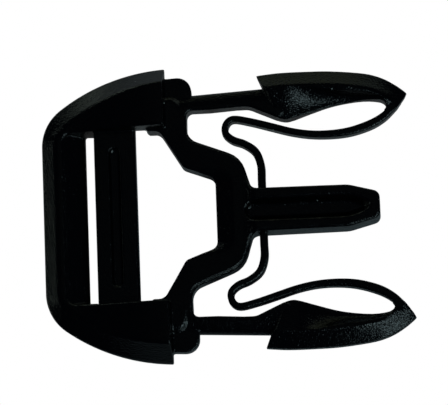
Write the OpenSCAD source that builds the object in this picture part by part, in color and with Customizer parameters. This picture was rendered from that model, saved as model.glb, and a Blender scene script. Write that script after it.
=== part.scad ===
// Plug half of a moulded side release buckle for 25 mm webbing, in millimetres.
// X runs from the head's back edge to the tips of the prongs, Y across, Z up from the surface it lies on.
// The modules measure X from the back edge, and the finished pieces are moved back by half the length.
// The head is a wedge, thin at the webbing end and thick where the wings meet the other half.
// Everything is symmetric about the XZ plane, and about the level of the parting line apart from the feet.

/* [Head] */
// Length from the back edge to the ends of the wings
head_l = 18.8; // [17:0.1:21]
// Width across the ends of the wings
head_w = 45.8; // [43:0.1:49]
// Thickness at the ends of the wings
head_t = 7.8; // [7:0.1:9]
// Thickness of the back edge's bar
back_t = 3.2; // [2.6:0.1:4]
// Width of the upright band round the widest line
rim_t = 0.8; // [0.4:0.1:1.2]
// Radius of a wing's long outer side
side_r = 30; // [28:0.5:34]
// Radius of the two back corners
corner_r = 7.5; // [6.5:0.1:8.5]
// Width of the sloped flank round the outside
flank_w = 2.7; // [2:0.1:3.2]
// Half the distance between the two wings' inner walls
gap_y = 13.4; // [13:0.1:14]

/* [Webbing bars] */
// Width of the narrow flat strip behind the ramp
strip_w = 0.8; // [0.6:0.1:1.2]
// Distance from the back edge to the slim slot
slot_x = 6.8; // [6.4:0.1:7.2]
// Width of the slim slot
slot_w = 1.2; // [1:0.1:1.6]
// Half the length of the slim slot
slot_y = 12.95; // [12.6:0.05:13.2]
// Level of the ramp where it reaches the slot
ramp_z = 3.4; // [3:0.1:4]
// Width of the centre bar
bar_w = 6; // [5:0.1:6.5]
// Level of the centre bar's top
bar_top = 5; // [4.6:0.1:5.4]
// Thickness of the centre bar
bar_t = 2.4; // [2:0.1:3]
// Half the length of the groove in the centre bar
groove_y = 10.9; // [9:0.1:11.5]
// Width of the groove at the top
groove_w = 1.7; // [1.2:0.1:2.2]

/* [Yoke and tongue] */
// Thickness of the yoke and its limbs
yoke_t = 3.4; // [3:0.1:4]
// Length from the back edge to the end of the tongue
tongue_end = 51.5; // [48:0.1:53]
// Half the width of the tongue
tongue_y = 3.15; // [2.8:0.05:3.5]
// Thickness of the tongue
tongue_t = 5; // [4.4:0.1:5.6]
// Half the width of the pocket in the tongue
pocket_y = 1.75; // [1.4:0.05:2]
// Depth of the pocket
pocket_d = 1.6; // [1:0.1:2]
// Width of a corner tab past the yoke's arm
tab_y = 21.2; // [20.8:0.1:21.6]
// Thickness of a corner tab
tab_t = 2.2; // [1.8:0.1:3]

/* [Prongs and springs] */
// Distance from the back edge to the middle of a prong's root
root_x = 24.5; // [24.2:0.1:24.8]
// Distance from the centre line to the middle of a prong's root
root_y = 17.35; // [17.2:0.05:17.5]
// Distance from the back edge to the tips of the prongs
tip_x = 56; // [55.5:0.1:57]
// Radius of a prong's rounded root
root_r = 1.1; // [1:0.05:1.2]
// Thickness of a prong's shank
shank_t = 3.6; // [3.2:0.1:4]
// Thickness of a prong's head along its ridge
ridge_t = 4.6; // [4.2:0.1:5]
// Width of a spring's strip
strip_t = 1.05; // [0.9:0.05:1.2]
// Depth of a spring's strip
strip_d = 2.2; // [1.8:0.1:2.6]

/* [Hidden] */
$fn = 64;
seam = 0.3; // gap that is left between two pieces
mid = head_t / 2; // level of the parting line
side_x = 20.1; // centre of a wing's outer arc
side_y = head_w / 2 - side_r;
corner_y = side_y + sqrt(pow(side_r - corner_r, 2) - pow(side_x - corner_r, 2));
bend = 180 - acos((side_x - corner_r) / (side_r - corner_r)); // where the corner arc meets the side arc
steps = 14;
foot = 0.3; // how far the underside is pared off for the two feet
bar_x = slot_x + slot_w;
black = [0.09, 0.09, 0.1];

// Point on the head's outline at an angle, moved in by a distance
function rim(a, inset) = a > bend
  ? [corner_r + (corner_r - inset) * cos(a), corner_y + (corner_r - inset) * sin(a)]
  : [side_x + (side_r - inset) * cos(a), side_y + (side_r - inset) * sin(a)];
// Half the outline, from the back edge to past the end of the wing
function half_rim(inset) = concat(
  [for (i = [0 : steps]) rim(180 - (180 - bend - 0.01) * i / steps, inset)],
  [for (i = [1 : steps]) rim(bend - (bend - 89) * i / steps, inset)]);
// Rise of the head's top above the parting line
function crown(x) = head_t / 2
  - (head_t - back_t) / 2 * pow(max(0, head_l - x) / (head_l - flank_w), 1.5);
function mirrored(p) = concat(p, [for (i = [len(p) - 1 : -1 : 0]) [p[i][0], -p[i][1]]]);
// Smooth curve through a table of points, n steps between each two
function knot(p, i) = p[max(0, min(len(p) - 1, i))];
function spline(p, n) = concat(
  [for (i = [0 : len(p) - 2], k = [0 : n - 1]) let (t = k / n)
    0.5 * (2 * p[i] + (p[i + 1] - knot(p, i - 1)) * t
      + (2 * knot(p, i - 1) - 5 * p[i] + 4 * p[i + 1] - knot(p, i + 2)) * t * t
      + (3 * p[i] - knot(p, i - 1) - 3 * p[i + 1] + knot(p, i + 2)) * t * t * t)],
  [p[len(p) - 1]]);
function across(p, i) = let (d = knot(p, i + 1) - knot(p, i - 1)) [-d[1], d[0]] / norm(d);

// A flat plate with its middle at the parting line
module plate(t) {
  translate([0, 0, mid - t / 2]) linear_extrude(t) children();
}

// The same piece on both sides of the centre line
module both() {
  children();
  mirror([0, 1, 0]) children();
}

// Solid wedge of the whole head before anything is cut out of it
module head_blank() {
  wide = mirrored(half_rim(0));
  crease = mirrored(half_rim(flank_w));
  m = len(wide);
  n = m / 2;
  // four rings from the underside up: lower crease, both edges of the upright band, upper crease
  points = concat(
    [for (p = crease) [p[0], p[1], mid - crown(p[0]) - foot]],
    [for (p = wide) [p[0], p[1], mid - rim_t / 2]],
    [for (p = wide) [p[0], p[1], mid + rim_t / 2]],
    [for (p = crease) [p[0], p[1], mid + crown(p[0])]]);
  faces = concat(
    [for (k = [0 : 2], i = [0 : m - 1]) let (j = (i + 1) % m, a = k * m)
      each [[a + i, a + j, a + m + j], [a + i, a + m + j, a + m + i]]],
    [for (i = [0 : n - 2]) [3 * m + i, 3 * m + i + 1, 4 * m - 2 - i, 4 * m - 1 - i]],
    [for (i = [0 : n - 2]) [i, m - 1 - i, m - 2 - i, i + 1]]);
  polyhedron(points, faces);
}

// What the head loses: the ramp, the slots and the room under the wings beside the centre bar
module head_cuts() {
  edge = flank_w + strip_w;
  rotate([90, 0, 0]) translate([0, 0, -gap_y]) linear_extrude(2 * gap_y)
    polygon([[edge, mid + crown(edge) + 0.01], [edge, 12], [30, 12], [30, -1], [slot_x, -1], [slot_x, ramp_z]]);
  translate([head_l, -30, -1]) cube([10, 60, 12]);
  translate([-1, -30, -3]) cube([40, 60, 3]);
  both() translate([bar_x, gap_y - 1, -1]) cube([8.3, 2.4, 5.1]);
}

// Centre bar with rounded edges, its groove, and the rounded ends of the slim slot
module centre_bar() {
  difference() {
    translate([bar_x, 0, bar_top - bar_t]) rotate([90, 0, 0])
      translate([0, 0, -gap_y - 1.6]) linear_extrude(2 * gap_y + 3.2)
        polygon([[0.4, 0], [bar_w - 0.4, 0], [bar_w, 0.4], [bar_w, bar_t - 0.3], [bar_w - 0.3, bar_t],
          [0.3, bar_t], [0, bar_t - 0.3], [0, 0.4]]);
    translate([bar_x + bar_w / 2, 0, bar_top - 0.8]) linear_extrude(2)
      hull() both() translate([0, groove_y - groove_w / 2]) circle(d = groove_w);
  }
  both() translate([slot_x - 0.3, slot_y, 2.2]) cube([slot_w + 0.6, gap_y - slot_y + 0.5, 2.8]);
}

// Half of the yoke in plan: arm, limb and trunk round the webbing opening
module yoke_half() {
  inner = [[17.4, 14.4], [17.4, 13.4], [18.4, 12.9], [19.1, 11.75], [21.4, 7.75], [22, 7.2], [25.6, 5.85],
    [26.25, 5.3], [26.5, 4.5], [26.5, -0.5]];
  outer = [[33, -0.5], [32.6, 3.3], [32.2, 3.5], [31.9, 3.65], [31.5, 4], [31.2, 5], [30.95, 6], [30.6, 7],
    [29.95, 7.95], [29, 8.75], [27.4, 9.55], [25, 10.5], [23.7, 11], [22.9, 11.55], [22.4, 12.3],
    [22.2, 13.2], [22.2, 14.7], [22.45, 15.5], [23.1, 16], [23.6, 16.05], [23.6, 18.5], [18, 18.5]];
  polygon(concat(inner, outer));
}

// Guide tongue, tapered to a blunt end, with a long pocket in its top
module tongue() {
  taper = [[32, tongue_y], [tongue_end - 4.5, tongue_y - 0.1], [tongue_end - 2.4, tongue_y - 0.6],
    [tongue_end - 0.9, tongue_y - 1.15], [tongue_end - 0.3, tongue_y - 1.6], [tongue_end, tongue_y - 2.2]];
  hollow = [[31.4, pocket_y], [tongue_end - 6, pocket_y], [tongue_end - 3.4, pocket_y - 0.4],
    [tongue_end - 2, pocket_y - 1], [tongue_end - 1.5, pocket_y - 1.6]];
  difference() {
    plate(tongue_t) polygon(mirrored(taper));
    translate([0, 0, mid + tongue_t / 2 - pocket_d]) linear_extrude(3) {
      polygon(mirrored(hollow));
      translate([31.5, 0]) circle(r = pocket_y);
    }
  }
}

// Moves the origin from the back edge to the middle of the length
module centred() {
  translate([-tip_x / 2, 0, 0]) children();
}

module frame() {
  color(black) {
    difference() {
      head_blank();
      head_cuts();
    }
    centre_bar();
    difference() {
      plate(yoke_t) both() yoke_half();
      // shallow ramp on the trunk, facing the webbing opening
      rotate([90, 0, 0]) translate([0, 0, -7]) linear_extrude(14)
        polygon([[26, mid + yoke_t / 2 - 1], [26.5, mid + yoke_t / 2 - 1], [29.2, mid + yoke_t / 2], [29.2, 9],
          [26, 9]]);
      // seats of the prongs' rounded roots
      both() translate([root_x, root_y, 0]) cylinder(r = root_r + seam, h = head_t);
    }
    both() plate(tab_t) hull() {
      translate([20.9, tab_y - 2.2]) circle(r = 2.2);
      translate([18, 17.5]) square([5.1, 0.8]);
      translate([18, tab_y - 0.6]) square([0.5, 0.6]);
    }
    tongue();
  }
}

// Prong on the side where Y is positive. Its head is lofted through rows of outer edge, ridge and inner edge.
module prong() {
  // columns: outer edge x, y, ridge x, y, inner edge x, y
  rows = [
    [33.35, 21.15, 34.2, 18.95, 36.1, 14.7],
    [38.5, 21.4, 38.4, 18.8, 37.7, 14.2],
    [42, 21.4, 42, 19.05, 41, 15.2],
    [46, 21.2, 46, 18.9, 45.5, 16.3],
    [49.5, 20.8, 49.3, 18.4, 49, 16.8],
    [52, 20.05, 51.5, 17.8, 51.8, 16.7],
    [54.2, 18.9, 53.6, 17.3, 53.3, 15.7],
    [tip_x, 17.4, 55.5, 16.9, 54.9, 15.7]];
  halves = [0.7, ridge_t / 2, 1.6];
  n = len(rows);
  // six points a row: outer, ridge and inner edge above the parting line, then the same below it
  points = [for (r = rows, s = [1, -1], k = [0 : 2])
    [r[2 * k], r[2 * k + 1], mid + s * halves[k]]];
  loop = [0, 1, 2, 5, 4, 3];
  color(black) {
    polyhedron(points, concat(
      [loop],
      [for (i = [0 : n - 2], k = [0 : 5]) let (a = 6 * i + loop[k], b = 6 * i + loop[(k + 1) % 6])
        each [[a, b + 6, b], [a, a + 6, b + 6]]],
      [[for (k = [5 : -1 : 0]) 6 * (n - 1) + loop[k]]]));
    plate(shank_t) {
      translate([root_x, root_y]) circle(r = root_r);
      polygon([[root_x, root_y + root_r], [28, 18.6], [34.6, 18.9], [37, 18], [37, 14.5], [35.1, 14.9],
        [33.6, 15.5], [32.5, 16.15], [31.5, 16.4], [28, 16.35], [root_x, root_y - root_r]]);
    }
  }
}

// Return spring on the side where Y is positive: root at the tongue, loop, bow, end at the prong's tip
module spring() {
  // columns: x, y along the middle of the strip
  path = spline([[33.5, tongue_y + seam], [33.5, 5], [33.4, 7.2], [32.6, 9.2], [31, 10.45], [29.3, 11.25],
    [28.3, 12.4], [28.4, 13.7], [29.5, 14.45], [32.2, 13.9], [35.2, 13], [38.3, 12.1], [41.3, 11.6],
    [44.4, 11.5], [47.4, 11.8], [50.4, 12.65], [52.4, 13.75], [53.8, 15]], 5);
  color(black) plate(strip_d) polygon(concat(
    [for (i = [0 : len(path) - 1]) path[i] + across(path, i) * strip_t / 2],
    [for (i = [len(path) - 1 : -1 : 0]) path[i] - across(path, i) * strip_t / 2]));
}

module prong_left() {
  prong();
}

module prong_right() {
  mirror([0, 1, 0]) prong();
}

module spring_left() {
  spring();
}

module spring_right() {
  mirror([0, 1, 0]) spring();
}

centred() frame();
centred() prong_left();
centred() prong_right();
centred() spring_left();
centred() spring_right();
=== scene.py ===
"""Plug half of a moulded side release buckle, lying on a pale floor.

The whole moulding is one formula: a signed distance in millimetres that is less than 0 inside the plastic.
Each part of the shape has its own short function, and the parts are joined and cut with rounded edges.
The surface is then taken out of the formula as five meshes: the frame, two prongs and two springs.
They share one surface and meet on flat cuts inside the plastic, so no seam shows between them.
"""
import math

import bpy
import numpy as np
from mathutils import Matrix, Vector


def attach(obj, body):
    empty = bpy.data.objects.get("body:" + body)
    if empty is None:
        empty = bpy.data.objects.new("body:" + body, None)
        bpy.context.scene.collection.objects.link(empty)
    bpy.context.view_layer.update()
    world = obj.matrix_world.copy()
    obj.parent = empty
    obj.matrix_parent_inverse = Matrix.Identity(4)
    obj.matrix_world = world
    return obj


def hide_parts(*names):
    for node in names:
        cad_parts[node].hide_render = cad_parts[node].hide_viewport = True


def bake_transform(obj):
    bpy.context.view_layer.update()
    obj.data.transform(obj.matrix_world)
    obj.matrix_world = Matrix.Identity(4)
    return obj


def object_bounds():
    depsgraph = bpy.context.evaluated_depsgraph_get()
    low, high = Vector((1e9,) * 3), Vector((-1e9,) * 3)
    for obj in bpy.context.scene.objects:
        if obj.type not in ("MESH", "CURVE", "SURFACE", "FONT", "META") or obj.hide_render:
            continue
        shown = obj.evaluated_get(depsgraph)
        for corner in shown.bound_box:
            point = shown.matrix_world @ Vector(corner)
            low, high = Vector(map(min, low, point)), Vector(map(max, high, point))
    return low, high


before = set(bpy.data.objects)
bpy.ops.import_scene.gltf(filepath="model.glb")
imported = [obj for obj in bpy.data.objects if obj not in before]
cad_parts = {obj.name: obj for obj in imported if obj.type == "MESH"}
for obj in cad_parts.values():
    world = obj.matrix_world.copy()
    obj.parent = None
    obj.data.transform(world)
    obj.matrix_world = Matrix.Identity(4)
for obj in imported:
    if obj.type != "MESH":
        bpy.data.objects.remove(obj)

MM = 0.001
cad_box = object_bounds()

# Places in the formula are in millimetres: x from the back edge, a across from the centre line,
# and h up or down from the parting line, which is at the height MID
BACK_X = cad_box[0].x / MM
MID = 3.9
# Thickness added to every side of the formula's solids, but not to the overall height
SKIN = 0.055
# A name that ends in FADE holds the place where an easing starts and its length, less than 0 to run back
# A name that ends in COS turns a height above a sloped face into the distance from that face

# Head: outline, wedge and sloped flanks
BACK_EDGE = -0.05
CORNER_R, CORNER_X, CORNER_A = 7.2, 7.15, 11.36
SIDE_R, SIDE_X = 29.3, 20.35
SIDE_A = CORNER_A - math.sqrt((SIDE_R - CORNER_R) ** 2 - (SIDE_X - CORNER_X) ** 2)
BEND = math.atan2(CORNER_A - SIDE_A, CORNER_X - SIDE_X)
BACK_H = 1.6
RISE_X = 2.5
RIM = 0.4
CROWN_COS = 0.97
FLANK_W, FLANK_MORE, FLANK_FADE = 2.15, 0.55, (12.3, 2.4)
HEAD_END, HEAD_LEAN, HEAD_LEAN_H = 18.82, 0.2, 3.4
# Slim slot, ramp for the webbing, and the walls beside the ramp, which straighten past the slot
SLOT_X, SLOT_H, SLOT_A, SLOT_UNDER = 6.5, -0.5, 13.15, 3.0
RAMP_X, RAMP_H = 3.1, 1.6
RAMP_WALL_A, RAMP_WALL_OUT = 13.0, 0.35
RAMP_WALL_LEAN, RAMP_WALL_UPRIGHT = 0.25, 0.2
RAMP_WALL_FADE = (SLOT_X, 3.0)
# Centre bar, the walls at its ends, and the hollow under those walls
BAR_X, BAR_END, BAR_A = 8.0, 14.27, 15.0
BAR_TOP, BAR_BASE = 1.1, -1.3
GROOVE_X, GROOVE_A, GROOVE_R, GROOVE_DEEP = 11.05, 10.85, 0.85, 0.8
WALL_A = 13.45
HOLLOW_END, HOLLOW_A, HOLLOW_H = 16.3, 14.8, 0.2
# Yoke, arms and shanks: the flush top and how it falls to the outer side, the shelf by the tabs, the bevel,
# and the ramp at the trunk
YOKE_H, TOP_COS = 1.7, 0.85
OUTER_X, OUTER_A, OUTER_SPLAY = 20.0, 18.35, 0.051
FALL, FALL_A, FALL_MOST, FALL_POWER = 1.0, 14.2, 1.3, 3
SHELF_H, SHELF_X, SHELF_STEP, SHELF_FADE = 0.5, 21.5, 1.3, (12.8, 1.2)
SHELF_CURL, SHELF_CURL_A, SHELF_CURL_W, SHELF_CURL_POWER = 0.48, 17.2, 3, 1.65
BEVEL, BEVEL_MORE = 0.22, 0.23
BEVEL_FADE, BEVEL_END_FADE = (14.0, -2.0), (32.6, -1.0)
TRUNK_RAMP, TRUNK_SLOPE, TRUNK_END, TRUNK_COS = 2.65, 0.38, 31.0, 0.94
TRUNK_LEAST, TRUNK_MORE = 0.2, 0.8
TRUNK_FADE, TRUNK_SIDE_FADE = (7.0, -3.0), (13.0, -3.0)
TAB_H = 1.05
# Tongue and its pocket
TONGUE_H, TONGUE_END = 2.5, 51.3
TONGUE_FADE, TONGUE_SIDE_FADE = (30.2, 2.4), (6.4, -3.1)
POCKET_DEEP, POCKET_LEAN, POCKET_COS = 1.6, 0.45, 0.91
# Prong: where it turns, and the step from its head down to the shank
NECK_X, NECK_A = 24.2, 17.35
STEP_X, STEP_A, STEP_TURN = 35.2, 17.5, math.radians(31)
STEP_H, STEP_SLOPE, STEP_COS = 1.95, 1.1, 0.67
# Prong's head: ridge, slope outside it, pad inside it, scoop in the pad, and the low pad at the tip
RIDGE_H, RIDGE_IN = 2.3, 2.35
RIDGE_DROP, RIDGE_DROP_X, RIDGE_DROP_W, RIDGE_DROP_POWER = 0.043, 46.5, 9.5, 1.6
EDGE_H, EDGE_LESS, EDGE_FADE, SLOPE_COS = 0.7, 0.2, (50.0, 6.0), 0.83
PAD_SLOPE, PAD_FADE = 0.19, (53.0, -3.0)
SCOOP_POWER = 2.2
SCOOP_START_FADE, SCOOP_END_FADE = (37.2, 2.8), (53.0, -1.0)
TIP_FADE, TIP_SIDE_FADE = (51.6, 1.2), (16.6, -1.2)
# Springs: half their height, the bevel of their edges, and where their tops start to follow the prong's slope
STRIP_H, STRIP_BEVEL, STRIP_TIP_X = 1.1, 0.16, 46.0

# Corners of outlines in plan, each with the radius that rounds it: x, a, radius
BODY = [
    (33.0, -6, 0), (32.7, 0.5, 0), (30.38, 8.45, 4.0), (22.2, 11.65, 2.35), (22.28, 16.05, 1.0),
    (26.0, 16.07, 8.0), (30.0, 16.32, 0), (31.9, 16.33, 2.2), (37.4, 13.85, 0.9), (37.0, 19.1, 0),
    (34.6, 19.1, 0), (20.0, 18.35, 0), (16.1, 18.0, 0), (16.1, -6, 0)]
OPENING = [
    (10.0, -6, 0), (26.42, -6, 0), (26.42, 5.42, 1.4), (21.58, 7.25, 1.25), (18.1, 13.1, 1.6),
    (10.0, 13.05, 0)]
TAB = [(17.5, 16.0, 0), (23.1, 16.0, 0), (23.1, 21.4, 2.1), (17.5, 21.1, 0)]
TONGUE = [
    (30.0, 3.32, 0), (46.6, 3.2, 4.0), (TONGUE_END, 1.95, 1.1), (TONGUE_END, -6, 0), (30.0, -6, 0)]
# Outlines of half the tongue's pocket and of a prong's head, smooth between their rows: x, a
POCKET = [
    (49.85, -2), (49.85, 0), (49.45, 0.6), (48.65, 1.08), (47.9, 1.38), (46.8, 1.66), (45.2, 1.77),
    (38.0, 1.77), (32.2, 1.72), (31.1, 1.4), (30.5, 0.75), (30.35, 0), (30.35, -2)]
HEAD_OUTSIDE = [
    (33.3, 21.1), (36.5, 21.38), (40.0, 21.42), (44.0, 21.33), (47.6, 21.0), (50.4, 20.56), (52.58, 19.8),
    (54.27, 18.83), (55.5, 17.9), (56.07, 17.38)]
HEAD_INSIDE = [
    (55.74, 16.74), (55.13, 15.95), (54.39, 14.97), (53.6, 14.5), (52.9, 14.55), (52.66, 14.82),
    (52.92, 15.25), (52.93, 15.75), (52.58, 16.25), (51.68, 16.55), (49.8, 16.66), (47.4, 16.44),
    (44.4, 15.92), (41.3, 15.03), (38.5, 14.24), (37.5, 14.08), (36.4, 14.3)]
# Scoop in a prong's head: x, a at its outer edge, a at its inner edge, half height of the inner edge
SCOOP = [
    (36.0, 19.05, 14.4, 1.45), (38.5, 19.05, 14.24, 1.38), (41.3, 18.85, 15.03, 0.75),
    (44.4, 18.3, 15.92, 0.5), (47.4, 18.05, 16.44, 0.5), (49.8, 17.7, 16.66, 0.8),
    (51.7, 17.15, 16.55, 1.15), (53.0, 16.6, 16.1, 1.3)]
# Middle line of a spring, smooth between its rows: x, a, half the strip's width
SPRING = [
    (33.46, 2.4, 0.55), (33.46, 3.4, 0.55), (33.46, 5.0, 0.55), (33.43, 7.2, 0.55), (32.71, 9.28, 0.52),
    (31.08, 10.57, 0.49), (29.32, 11.28, 0.49), (28.2, 12.37, 0.47), (28.32, 13.74, 0.46),
    (29.49, 14.55, 0.44), (32.23, 14.0, 0.46), (35.23, 13.12, 0.48), (38.32, 12.2, 0.47),
    (41.3, 11.66, 0.48), (44.4, 11.55, 0.52), (47.39, 11.86, 0.57), (50.36, 12.75, 0.6),
    (52.35, 13.81, 0.56), (53.75, 15.05, 0.52), (54.76, 16.22, 0.5)]

# Areas in plan that belong to a prong and to a spring, divided through open space and two flat cuts: x, a
BETWEEN = [
    (31.0, 15.45), (36.0, 13.85), (40.5, 13.6), (46.0, 14.4), (50.5, 15.2), (52.6, 15.75), (55.6, 13.7)]
PRONG_AREA = [(NECK_X, 15.4), *BETWEEN, (60.0, 13.7), (60.0, 25.0), (NECK_X, 25.0)]
SPRING_ROOT_A = 3.45
SPRING_AREA = [
    (32.55, SPRING_ROOT_A), (34.6, SPRING_ROOT_A), (45.0, 5.0), (60.0, 11.0), *BETWEEN[::-1], (26.5, 15.4),
    (26.5, 11.6), (30.6, 9.2), (32.2, 6.5)]
# Boxes in which the meshes are looked for: lowest x, y, z and highest x, y, z, with z from the floor
FRAME_BOX = (-0.6, -23.6, -0.5), (52.2, 23.6, 8.3)
PRONG_BOX = (23.8, 13.2, 0.8), (56.6, 22.2, 7.0)
SPRING_BOX = (27.0, 3.0, 1.9), (55.6, 16.4, 5.9)
FRAME_STEP, LIMB_STEP = ((0.2, 0.16))

# Plastic: gloss, grain, whose depth is in metres, and dust, of which only a share of the specks is shown
ROUGHNESS, IOR = 0.18, 1.48
GRAIN_SCALE, GRAIN_DEPTH = 5000, 0.000052
DUST_SCALE, DUST_SIZE, DUST_SHARE = 300, 0.035, 0.35
BLACK, DUST_COLOUR = (0.0012, 0.0014, 0.0016, 1), (0.5, 0.54, 0.5, 1)
# Floor: colour, half its side in metres, and its glow in the plastic's reflections, which grows from south to
# north between two distances from the buckle's middle
FLOOR_COLOUR, FLOOR_HALF = (0.8, 0.8, 0.8, 1), 3.0
GLOW_SOUTH, GLOW_NORTH = 0.003, 0.06
GLOW_FROM, GLOW_TO = 0.002, 0.012
# Soft square lights round the table: azimuth from east towards north, elevation, size in metres, watts and
# colour
PLAIN, WARM, COOL = (0.84, 1.02, 0.88), (1.0, 1.15, 0.75), (0.72, 1.0, 1.05)
LIGHTS = {
    "north_box": (90, 4, 0.3, 0.06, WARM),
    "north_west_box": (120, 4, 0.3, 0.169, PLAIN),
    "west_box": (180, 8, 0.3, 0.17, PLAIN),
    "north_east_box": (60, 10, 0.3, 0.086, PLAIN),
    "overhead_box": (90, 72, 0.3, 0.009, PLAIN),
    "east_box": (330, 22, 0.2, 0.047, COOL),
    "south_east_box": (300, 22, 0.14, 0.16, COOL),
    "south_east_lamp": (322, 53, 0.2, 0.36, COOL)}
LIGHT_DISTANCE = 0.6
WORLD_COLOUR, WORLD_STRENGTH = (0.35, 0.45, 1.0, 1), 0.016


def both(a, b, radius=0.0):
    """What two solids share, with the edge between them rounded."""
    inner = np.minimum(np.maximum(a, b), -radius)
    return inner + np.hypot(np.maximum(a + radius, 0), np.maximum(b + radius, 0))


def either(a, b, radius=0.0):
    """Two solids joined, with a fillet in the corner between them."""
    outer = np.maximum(np.minimum(a, b), radius)
    return outer - np.hypot(np.maximum(radius - a, 0), np.maximum(radius - b, 0))


def cut(a, b, radius=0.0):
    """The first solid without the second."""
    return both(a, -b, radius)


def bevelled(a, b, width, radius=0.06):
    """What two solids share, with a bevel of that width along the edge."""
    return both(np.maximum(a, b), (a + b + width) * math.sqrt(0.5), radius)


def ease(t):
    """From 0 to 1 as t goes from 0 to 1, level at both ends."""
    t = np.clip(t, 0, 1)
    return t * t * (3 - 2 * t)


def fade(value, start, length):
    """From 0 at a start to 1 a length farther on, level at both ends. A length less than 0 runs back."""
    return ease((value - start) / length)


def lowered(top, bottom, first, second):
    """A height, brought down towards a lower one as far as two fades say."""
    return top - np.maximum(top - bottom, 0) * first * second


def smooth(rows, steps=5):
    """Points of a smooth curve through the rows of a table."""
    p = np.array([rows[0], *rows, rows[-1]], float)
    made = []
    for i in range(1, len(p) - 2):
        for t in np.arange(steps) / steps:
            made.append(0.5 * (
                2 * p[i] + (p[i + 1] - p[i - 1]) * t
                + (2 * p[i - 1] - 5 * p[i] + 4 * p[i + 1] - p[i + 2]) * t * t
                + (3 * p[i] - p[i - 1] - 3 * p[i + 1] + p[i + 2]) * t ** 3))
    return np.array([*made, p[-1]])


def rounded(corners, turn=12.0):
    """Points of an outline whose corners are rounded by their own radii, with that many degrees to a step."""
    made = []
    for i, (x, a, radius) in enumerate(corners):
        here = np.array([x, a])
        before = np.array(corners[i - 1][:2]) - here
        after = np.array(corners[(i + 1) % len(corners)][:2]) - here
        if radius == 0:
            made.append(here)
            continue
        before /= np.linalg.norm(before)
        after /= np.linalg.norm(after)
        half = math.acos(np.clip(before @ after, -1, 1)) / 2
        middle = before + after
        centre = here + middle / np.linalg.norm(middle) * radius / math.sin(half)
        first = here + before * radius / math.tan(half) - centre
        last = here + after * radius / math.tan(half) - centre
        start = math.atan2(first[1], first[0])
        sweep = (math.atan2(last[1], last[0]) - start + math.pi) % (2 * math.pi) - math.pi
        count = max(2, round(abs(math.degrees(sweep)) / turn))
        for t in np.linspace(0, 1, count + 1):
            angle = start + sweep * t
            made.append(centre + radius * np.array([math.cos(angle), math.sin(angle)]))
    return np.array(made)


def path_distance(points, x, a):
    """Distance in plan to an open path, less the half width of the path where its points have one."""
    best = np.full(np.broadcast(x, a).shape, np.inf)
    for (x0, a0, *half0), (x1, a1, *half1) in zip(points[:-1], points[1:]):
        ex, ea = x1 - x0, a1 - a0
        wx, wa = x - x0, a - a0
        t = np.clip((wx * ex + wa * ea) / (ex * ex + ea * ea), 0, 1)
        away = np.hypot(wx - ex * t, wa - ea * t)
        if half0:
            away = away - half0[0] - (half1[0] - half0[0]) * t
        best = np.minimum(best, away)
    return best


def plan_distance(points, x, a):
    """Signed distance in plan to a closed outline, less than 0 inside it."""
    inside = np.zeros(np.broadcast(x, a).shape, bool)
    for (x0, a0), (x1, a1) in zip(points, np.roll(points, -1, 0)):
        crosses = (a0 <= a) != (a1 <= a)
        left = ((x1 - x0) * (a - a0) > (a1 - a0) * (x - x0)) == (a1 > a0)
        inside ^= crosses & left
    closed = np.vstack([points, points[:1]])
    return path_distance(closed, x, a) * np.where(inside, -1, 1)


OUTLINES = {
    "body": rounded(BODY), "opening": rounded(OPENING), "tab": rounded(TAB), "tongue": rounded(TONGUE),
    "pocket": smooth(POCKET), "spring": smooth(SPRING), "head outside": smooth(HEAD_OUTSIDE),
    "prong head": np.vstack([smooth(HEAD_OUTSIDE), smooth(HEAD_INSIDE)]),
    "prong area": np.array(PRONG_AREA), "spring area": np.array(SPRING_AREA)}


def head_outline(x, a):
    """Signed distance in plan to the head's outline: a straight back, a corner arc and a long side arc."""
    corner = np.hypot(x - CORNER_X, a - CORNER_A) - CORNER_R
    side = np.hypot(x - SIDE_X, a - SIDE_A) - SIDE_R
    past_bend = (x - CORNER_X) * math.sin(BEND) - (a - CORNER_A) * math.cos(BEND) < 0
    return np.where(past_bend & (a > CORNER_A), corner, np.maximum(BACK_EDGE - x, side))


def crown(x):
    """Rise of the head's top above the parting line."""
    return BACK_H + (MID - BACK_H) * ease((x - RISE_X) / (HEAD_END - RISE_X))


def wedge(x, a, h):
    """The whole wedge of the head, with sloped flanks and an end that leans in towards the top."""
    outline = head_outline(x, a)
    width = FLANK_W + FLANK_MORE * fade(a, *FLANK_FADE)
    rise = crown(x) - RIM
    up = np.abs(h)
    flank = (width * (up - RIM) + rise * outline) / np.hypot(width, rise)
    top = (up - crown(x)) * CROWN_COS
    solid = both(both(outline, flank, radius=0.15), top, radius=0.2)
    end = HEAD_END + HEAD_LEAN * np.clip(1 - (up - RIM) / HEAD_LEAN_H, 0, 1)
    return both(solid, x - end, radius=0.15)


def above_ramp(x, a, h):
    """The space between the wings above the ramp that the webbing slides on."""
    slope = math.atan2(RAMP_H - SLOT_H, SLOT_X - RAMP_X)
    above = (x - RAMP_X) * math.sin(slope) + (h - RAMP_H) * math.cos(slope)
    past_slot = fade(x, *RAMP_WALL_FADE)
    lean = RAMP_WALL_LEAN - RAMP_WALL_UPRIGHT * past_slot
    wall = RAMP_WALL_A + RAMP_WALL_OUT * past_slot + lean * h
    between = (a - wall) / np.hypot(1, lean)
    return both(-above, both(RAMP_X - x, between, radius=1.5), radius=0.25)


def webbing_space(x, a):
    """The slim slot, and all the space round the centre bar as far as the wings' walls."""
    slot = both(both(SLOT_X - x, x - BAR_X - SLOT_UNDER, radius=0.4), a - SLOT_A, radius=0.4)
    opening = both(BAR_X - x, a - WALL_A, radius=0.2)
    return np.minimum(slot, opening)


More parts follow.
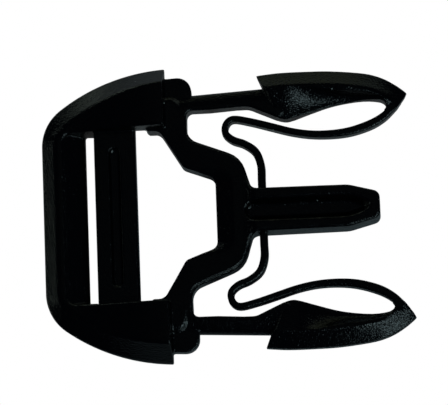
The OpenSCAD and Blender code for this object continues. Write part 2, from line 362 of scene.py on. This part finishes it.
def head(x, a, h):
    """The wedge without the space between its wings and the hollow under the ends of the bar."""
    hollow = np.maximum(np.maximum(BAR_X - x, x - HOLLOW_END), np.maximum(a - HOLLOW_A, h - HOLLOW_H))
    solid = cut(wedge(x, a, h), above_ramp(x, a, h), radius=0.3)
    solid = cut(solid, webbing_space(x, a), radius=0.3)
    return cut(solid, hollow, radius=0.1)


def centre_bar(x, a, h):
    """The bar that the webbing turns round, with a groove along its top."""
    left = both(BAR_X - x, h - BAR_TOP, radius=0.18)
    right = both(x - BAR_END, h - BAR_TOP, radius=0.45)
    solid = both(np.maximum(left, right), BAR_BASE - h, radius=0.2)
    solid = np.maximum(solid, a - BAR_A)
    stadium = np.hypot(x - GROOVE_X, np.maximum(a - (GROOVE_A - GROOVE_R), 0)) - GROOVE_R
    groove = both(stadium, BAR_TOP - GROOVE_DEEP - h, radius=0.5)
    return cut(solid, groove, radius=0.08)


def body_top(x, a):
    """Height of the flush top of the yoke, arms and shanks, and of the tongue, which rises above them."""
    outer = OUTER_A + OUTER_SPLAY * (x - OUTER_X)
    fall = FALL * np.clip((a - FALL_A) / (outer - FALL_A), 0, FALL_MOST) ** FALL_POWER
    shelf_end = SHELF_X - SHELF_CURL * np.clip(a - SHELF_CURL_A, 0, SHELF_CURL_W) ** SHELF_CURL_POWER
    shelf = SHELF_H * fade(x, shelf_end, -SHELF_STEP) * fade(a, *SHELF_FADE)
    rise = (TONGUE_H - YOKE_H) * fade(x, *TONGUE_FADE) * fade(a, *TONGUE_SIDE_FADE)
    return YOKE_H - fall + shelf + rise


def body(x, a, h):
    """Yoke, arms, shanks and tongue: one outline with a bevelled edge, and a ramp down to the opening."""
    limbs = plan_distance(OUTLINES["body"], x, a)
    outside = either(limbs, plan_distance(OUTLINES["tongue"], x, a), radius=0.8)
    gap = plan_distance(OUTLINES["opening"], x, a)
    over = np.abs(h) - body_top(x, a)
    width = BEVEL + BEVEL_MORE * fade(a, *BEVEL_FADE) * fade(x, *BEVEL_END_FADE)
    solid = both(both(outside, -gap, radius=0.5), over * TOP_COS, radius=0.1)
    solid = both(solid, (outside + over + width) * math.sqrt(0.5), radius=0.06)
    slope = TRUNK_SLOPE * (TRUNK_LEAST + TRUNK_MORE * fade(a, *TRUNK_FADE)) * fade(a, *TRUNK_SIDE_FADE)
    ramp = (h - YOKE_H + slope * np.maximum(TRUNK_RAMP - gap, 0)) * TRUNK_COS
    cuts_nothing = -5.0
    return both(solid, np.where(x < TRUNK_END, ramp, cuts_nothing), radius=0.1)


def tab(x, a, h):
    """Corner plate beside a prong's root."""
    return both(plan_distance(OUTLINES["tab"], x, a), np.abs(h) - TAB_H, radius=0.18)


def pocket(x, a, h):
    """The pocket that is cut into the tongue, with walls that lean out."""
    bottom = TONGUE_H - POCKET_DEEP
    plan = plan_distance(OUTLINES["pocket"], x, a)
    return both((plan - POCKET_LEAN * (h - TONGUE_H)) * POCKET_COS, bottom - h, radius=0.4)


def ridge_height(x):
    """Height of the ridge along a prong's head, which drops towards the tip."""
    return RIDGE_H - RIDGE_DROP * np.clip(x - RIDGE_DROP_X, 0, RIDGE_DROP_W) ** RIDGE_DROP_POWER


def outer_slope(x, inset):
    """Height of the slope that climbs from a prong's outer edge to its ridge, and on past it."""
    edge = EDGE_H - EDGE_LESS * fade(x, *EDGE_FADE)
    return edge + (ridge_height(x) - edge) / RIDGE_IN * inset


def pad_height(x, a, inset):
    """Height of a prong's head inside its ridge, with the scoop, and level with the spring at the tip."""
    pad = ridge_height(x) - PAD_SLOPE * np.maximum(inset - RIDGE_IN, 0) * fade(x, *PAD_FADE)
    rows = smooth(SCOOP).T
    edge, inner, low = (np.interp(x, rows[0], column) for column in rows[1:])
    down = np.clip((edge - a) / (edge - inner), 0, 1)
    bottom = low + (ridge_height(x) - low) * (1 - down) ** SCOOP_POWER
    pad = lowered(pad, bottom, fade(x, *SCOOP_START_FADE), fade(x, *SCOOP_END_FADE))
    return lowered(pad, STRIP_H, fade(x, *TIP_FADE), fade(a, *TIP_SIDE_FADE))


def prong_head(x, a, h):
    """Head of a prong: an outer slope up to a ridge, a pad inside it, and a step down to the shank."""
    up = np.abs(h)
    plan = plan_distance(OUTLINES["prong head"], x, a)
    inset = path_distance(OUTLINES["head outside"], x, a)
    before = (STEP_X - x) * math.cos(STEP_TURN) - (a - STEP_A) * math.sin(STEP_TURN)
    step = (up - STEP_H + STEP_SLOPE * before) * STEP_COS
    solid = both(plan, (up - outer_slope(x, inset)) * SLOPE_COS, radius=0.1)
    solid = both(solid, (up - pad_height(x, a, inset)) * TOP_COS, radius=0.12)
    return both(solid, step, radius=0.1)


def spring(x, a, h):
    """Curved strip with bevelled edges, which runs out level with the prong's tip."""
    up = np.abs(h)
    strip = path_distance(OUTLINES["spring"], x, a)
    solid = bevelled(strip, up - np.minimum(STRIP_H, ridge_height(x)), STRIP_BEVEL)
    slope = outer_slope(x, path_distance(OUTLINES["head outside"], x, a))
    return np.where(x > STRIP_TIP_X, both(solid, (up - slope) * SLOPE_COS, radius=0.1), solid)


def frame_whole(x, a, h):
    """Everything that the springs and prongs grow out of."""
    solid = either(head(x, a, h), centre_bar(x, a, h), radius=0.1)
    limbs = either(body(x, a, h), tab(x, a, h), radius=0.15)
    return cut(either(solid, limbs, radius=0.35), pocket(x, a, h), radius=0.25)


def frame_field(x, y, z):
    """The frame with the springs, on both sides of the centre line."""
    a, h = np.abs(y), z - MID
    return either(frame_whole(x, a, h), spring(x, a, h), radius=0.35)


def frame_cut(x, y, z):
    """Less than 0 outside the areas of the prongs and springs."""
    a = np.abs(y)
    prong_area = plan_distance(OUTLINES["prong area"], x, a)
    spring_area = plan_distance(OUTLINES["spring area"], x, a)
    return -np.minimum(prong_area, spring_area)


def limb_field(x, y, z):
    """The left prong with its shank and spring, and as much of the body as they touch."""
    h = z - MID
    solid = either(body(x, y, h), spring(x, y, h), radius=0.35)
    return either(solid, prong_head(x, y, h), radius=0.06)


def prong_cut(x, y, z):
    """Less than 0 inside the left prong's area."""
    return plan_distance(OUTLINES["prong area"], x, y)


def spring_cut(x, y, z):
    """Less than 0 inside the left spring's area."""
    return plan_distance(OUTLINES["spring area"], x, y)


def grown(field, x, y, z):
    """A field's solid, thicker by a skin on every side, but no taller."""
    return np.maximum(field(x, y, z) - SKIN, np.abs(z - MID) - MID)


def slopes(field, points, reach=0.02):
    """Unit direction in which a field grows, at each point."""
    parts = []
    for axis in range(3):
        shift = np.zeros(3)
        shift[axis] = reach
        parts.append(field(*(points + shift).T) - field(*(points - shift).T))
    growth = np.stack(parts, 1)
    return growth / np.maximum(np.linalg.norm(growth, axis=1, keepdims=True), 1e-9)


def crossings(field, values, low, step, tries=3):
    """Where the grid's lines pass the surface: the four cells round each place, the place, and its facing."""
    inside = values < 0
    cells, places, flips = [], [], []
    for axis in range(3):
        near, far = [slice(None)] * 3, [slice(None)] * 3
        near[axis], far[axis] = slice(None, -1), slice(1, None)
        near, far = tuple(near), tuple(far)
        index = np.argwhere(inside[near] != inside[far])
        u, v = (axis + 1) % 3, (axis + 2) % 3
        index = index[(index[:, u] > 0) & (index[:, v] > 0)]
        one = values[near][tuple(index.T)]
        two = values[far][tuple(index.T)]
        start = low + index * step
        from_t, to_t = np.zeros(len(index)), np.ones(len(index))
        for _ in range(tries):
            t = from_t + (to_t - from_t) * one / (one - two)
            point = start.copy()
            point[:, axis] += t * step
            value = field(*point.T)
            same = (value < 0) == (one < 0)
            from_t, one = np.where(same, t, from_t), np.where(same, value, one)
            to_t, two = np.where(same, to_t, t), np.where(same, two, value)
        around = []
        for du, dv in ((0, 0), (-1, 0), (-1, -1), (0, -1)):
            cell = index.copy()
            cell[:, u] += du
            cell[:, v] += dv
            around.append(np.ravel_multi_index(tuple(cell.T), values.shape))
        cells.append(np.stack(around, 1))
        places.append(point)
        flips.append(~inside[near][tuple(index.T)])
    return np.concatenate(cells), np.concatenate(places), np.concatenate(flips)


def meeting_points(places, normals, faces, amount, hold=0.04):
    """One point for each cell: where the planes through its crossings meet, held a little to their middle."""
    count = np.bincount(faces.ravel(), minlength=amount)[:, None]
    middle = np.zeros((amount, 3))
    matrix = np.zeros((amount, 3, 3))
    target = np.zeros((amount, 3))
    reach = np.sum(normals * places, 1)
    for corner in range(4):
        where = faces[:, corner]
        for i in range(3):
            middle[:, i] += np.bincount(where, places[:, i], amount)
            target[:, i] += np.bincount(where, normals[:, i] * reach, amount)
            for j in range(3):
                matrix[:, i, j] += np.bincount(where, normals[:, i] * normals[:, j], amount)
    middle /= count
    held = hold * count[:, :, None] * np.eye(3)
    rest = target - np.einsum("nij,nj->ni", matrix, middle)
    return middle + np.linalg.solve(matrix + held, rest[:, :, None])[:, :, 0]


def contour(field, low, high, step, off_grid=0.37, pulls=2, longest_pull=0.25):
    """Mesh of the surface where a field is 0, with one point in each small cube that the surface passes."""
    low = np.floor(np.array(low) / step) * step + step * off_grid
    lines = [np.arange(low[k], high[k] + step, step) for k in range(3)]
    shape = tuple(len(line) for line in lines)
    values = field(lines[0][:, None, None], lines[1][None, :, None], lines[2][None, None, :])
    corners, places, flips = crossings(field, np.broadcast_to(values, shape), low, step)
    cells, faces = np.unique(corners, return_inverse=True)
    faces = faces.reshape(corners.shape)
    points = meeting_points(places, slopes(field, places), faces, len(cells))
    cell_low = low + np.stack(np.unravel_index(cells, shape), 1) * step
    points = np.clip(points, cell_low, cell_low + step)
    for _ in range(pulls):
        move = field(*points.T)[:, None] * slopes(field, points)
        points -= np.clip(move, -longest_pull * step, longest_pull * step)
    faces[flips] = faces[flips][:, ::-1]
    return points, faces


def moulding(name, field, area, box, step, mirrored=False):
    """A named piece of the moulding: the part of a field's solid that lies in an area."""
    points, faces = contour(lambda x, y, z: np.maximum(grown(field, x, y, z), area(x, y, z)), *box, step)
    normals = slopes(field, points)
    if mirrored:
        points[:, 1] *= -1
        normals[:, 1] *= -1
        faces = faces[:, ::-1]
    points = (points + [BACK_X, 0, 0]) * MM
    mesh = bpy.data.meshes.new(name)
    mesh.from_pydata(points.tolist(), [], faces.tolist())
    mesh.polygons.foreach_set("use_smooth", np.ones(len(faces), bool))
    mesh.normals_split_custom_set_from_vertices(normals.tolist())
    mesh.update()
    piece = bpy.data.objects.new(name, mesh)
    bpy.context.scene.collection.objects.link(piece)
    print(name, len(points), "points", len(faces), "faces", flush=True)
    return piece


def new_material(name):
    """A material with nodes, its nodes and its links."""
    material = bpy.data.materials.new(name)
    material.use_nodes = True
    return material, material.node_tree.nodes, material.node_tree.links


def fill(node, values):
    """Sets a node's inputs by name."""
    for name, value in values.items():
        node.inputs[name].default_value = value


def math_node(nodes, operation):
    """A node that works out one sum."""
    made = nodes.new("ShaderNodeMath")
    made.operation = operation
    return made


def black_plastic():
    """Near black acetal with a spark-eroded grain and a few specks of dust."""
    material, nodes, links = new_material("black_moulded_plastic")
    shader = nodes["Principled BSDF"]
    fill(shader, {"Roughness": ROUGHNESS, "IOR": IOR})
    place = nodes.new("ShaderNodeTexCoord")
    grain = nodes.new("ShaderNodeTexNoise")
    fill(grain, {"Scale": GRAIN_SCALE, "Detail": 0})
    bump = nodes.new("ShaderNodeBump")
    fill(bump, {"Strength": 1.0, "Distance": GRAIN_DEPTH})
    links.new(place.outputs["Object"], grain.inputs["Vector"])
    links.new(grain.outputs["Fac"], bump.inputs["Height"])
    links.new(bump.outputs["Normal"], shader.inputs["Normal"])
    specks = nodes.new("ShaderNodeTexVoronoi")
    fill(specks, {"Scale": DUST_SCALE})
    near = math_node(nodes, "LESS_THAN")
    near.inputs[1].default_value = DUST_SIZE
    chance = nodes.new("ShaderNodeSeparateColor")
    rare = math_node(nodes, "LESS_THAN")
    rare.inputs[1].default_value = DUST_SHARE
    dusty = math_node(nodes, "MULTIPLY")
    colour = nodes.new("ShaderNodeMix")
    colour.data_type = "RGBA"
    fill(colour, {"A": BLACK, "B": DUST_COLOUR})
    links.new(place.outputs["Object"], specks.inputs["Vector"])
    links.new(specks.outputs["Distance"], near.inputs[0])
    links.new(specks.outputs["Color"], chance.inputs["Color"])
    links.new(chance.outputs["Red"], rare.inputs[0])
    links.new(near.outputs["Value"], dusty.inputs[0])
    links.new(rare.outputs["Value"], dusty.inputs[1])
    links.new(dusty.outputs["Value"], colour.inputs["Factor"])
    links.new(colour.outputs["Result"], shader.inputs["Base Color"])
    return material


def white_floor():
    """Floor that looks evenly white, as a photographer's lit table does, and glows weakly in reflections."""
    material, nodes, links = new_material("white_floor")
    shader = nodes["Principled BSDF"]
    fill(shader, {"Base Color": FLOOR_COLOUR, "Roughness": 1.0, "Specular IOR Level": 0.0})
    place = nodes.new("ShaderNodeTexCoord")
    axes = nodes.new("ShaderNodeSeparateXYZ")
    rise = nodes.new("ShaderNodeMapRange")
    fill(rise, {"From Min": GLOW_FROM, "From Max": GLOW_TO, "To Min": GLOW_SOUTH, "To Max": GLOW_NORTH})
    links.new(place.outputs["Object"], axes.inputs["Vector"])
    links.new(axes.outputs["Y"], rise.inputs["Value"])
    links.new(rise.outputs["Result"], shader.inputs["Emission Strength"])
    glow = nodes.new("ShaderNodeEmission")
    ray = nodes.new("ShaderNodeLightPath")
    mix = nodes.new("ShaderNodeMixShader")
    links.new(ray.outputs["Is Camera Ray"], mix.inputs[0])
    links.new(shader.outputs["BSDF"], mix.inputs[1])
    links.new(glow.outputs["Emission"], mix.inputs[2])
    links.new(mix.outputs["Shader"], nodes["Material Output"].inputs["Surface"])
    return material


def camera():
    """Camera above the buckle, leaning from the south towards the east, as in the photograph."""
    turn, side, lean = math.radians(2.33), math.radians(15.0), math.radians(11.5)
    distance, pixels_per_mm, picture_width, sensor = 600.0, 6.5, 448, 36.0
    aim = Vector((-0.624, 2.5, 0.0))
    back = Vector((0, 0, distance))
    axis = Vector((0, 0, 1)).cross(Vector((math.sin(side), -math.cos(side), 0)))
    turned = (Matrix.Rotation(-lean, 3, axis) @ Matrix.Rotation(turn, 3, "Z")).transposed()
    data = bpy.data.cameras.new("camera")
    data.sensor_width = sensor
    data.lens = distance * pixels_per_mm / picture_width * sensor
    data.clip_start, data.clip_end = 0.05, 5.0
    made = bpy.data.objects.new("camera", data)
    made.matrix_world = Matrix.Translation((aim + turned @ back) * MM) @ turned.to_4x4()
    bpy.context.scene.collection.objects.link(made)
    bpy.context.scene.camera = made


def light(name, azimuth, elevation, size, power, colour):
    """Square light that faces the buckle."""
    data = bpy.data.lights.new(name, "AREA")
    data.size = size
    data.energy = power
    data.color = colour
    made = bpy.data.objects.new(name, data)
    turn, rise = math.radians(azimuth), math.radians(elevation)
    away = Vector((math.cos(turn) * math.cos(rise), math.sin(turn) * math.cos(rise), math.sin(rise)))
    made.location = away * LIGHT_DISTANCE
    made.rotation_mode = "QUATERNION"
    made.rotation_quaternion = away.to_track_quat("Z", "Y")
    bpy.context.scene.collection.objects.link(made)


def floor():
    """Wide flat floor that the buckle lies on."""
    half = FLOOR_HALF
    mesh = bpy.data.meshes.new("floor")
    corners = [(-half, -half, 0), (half, -half, 0), (half, half, 0), (-half, half, 0)]
    mesh.from_pydata(corners, [], [(0, 1, 2, 3)])
    mesh.materials.append(white_floor())
    made = bpy.data.objects.new("floor", mesh)
    bpy.context.scene.collection.objects.link(made)


def dim_world():
    """Weak bluish light from all sides."""
    made = bpy.data.worlds.new("world")
    made.use_nodes = True
    fill(made.node_tree.nodes["Background"], {"Color": WORLD_COLOUR, "Strength": WORLD_STRENGTH})
    bpy.context.scene.world = made


camera()
floor()
plastic = black_plastic()
pieces = {"frame_moulding": moulding("frame_moulding", frame_field, frame_cut, FRAME_BOX, FRAME_STEP)}
for side, mirrored in (("left", False), ("right", True)):
    for kind, area, box in (("prong", prong_cut, PRONG_BOX), ("spring", spring_cut, SPRING_BOX)):
        name = f"{kind}_{side}_moulding"
        pieces[name] = moulding(name, limb_field, area, box, LIMB_STEP, mirrored)

for name, piece in pieces.items():
    node = name.replace("_moulding", "")
    piece.data.materials.append(plastic)
    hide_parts(node)
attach(pieces["frame_moulding"], "frame")
for side, sign in (("left", 1), ("right", -1)):
    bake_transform(pieces[f"prong_{side}_moulding"])
    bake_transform(pieces[f"spring_{side}_moulding"])

for name, row in LIGHTS.items():
    light(name, *row)
dim_world()
bpy.context.scene.view_settings.view_transform = "Standard"
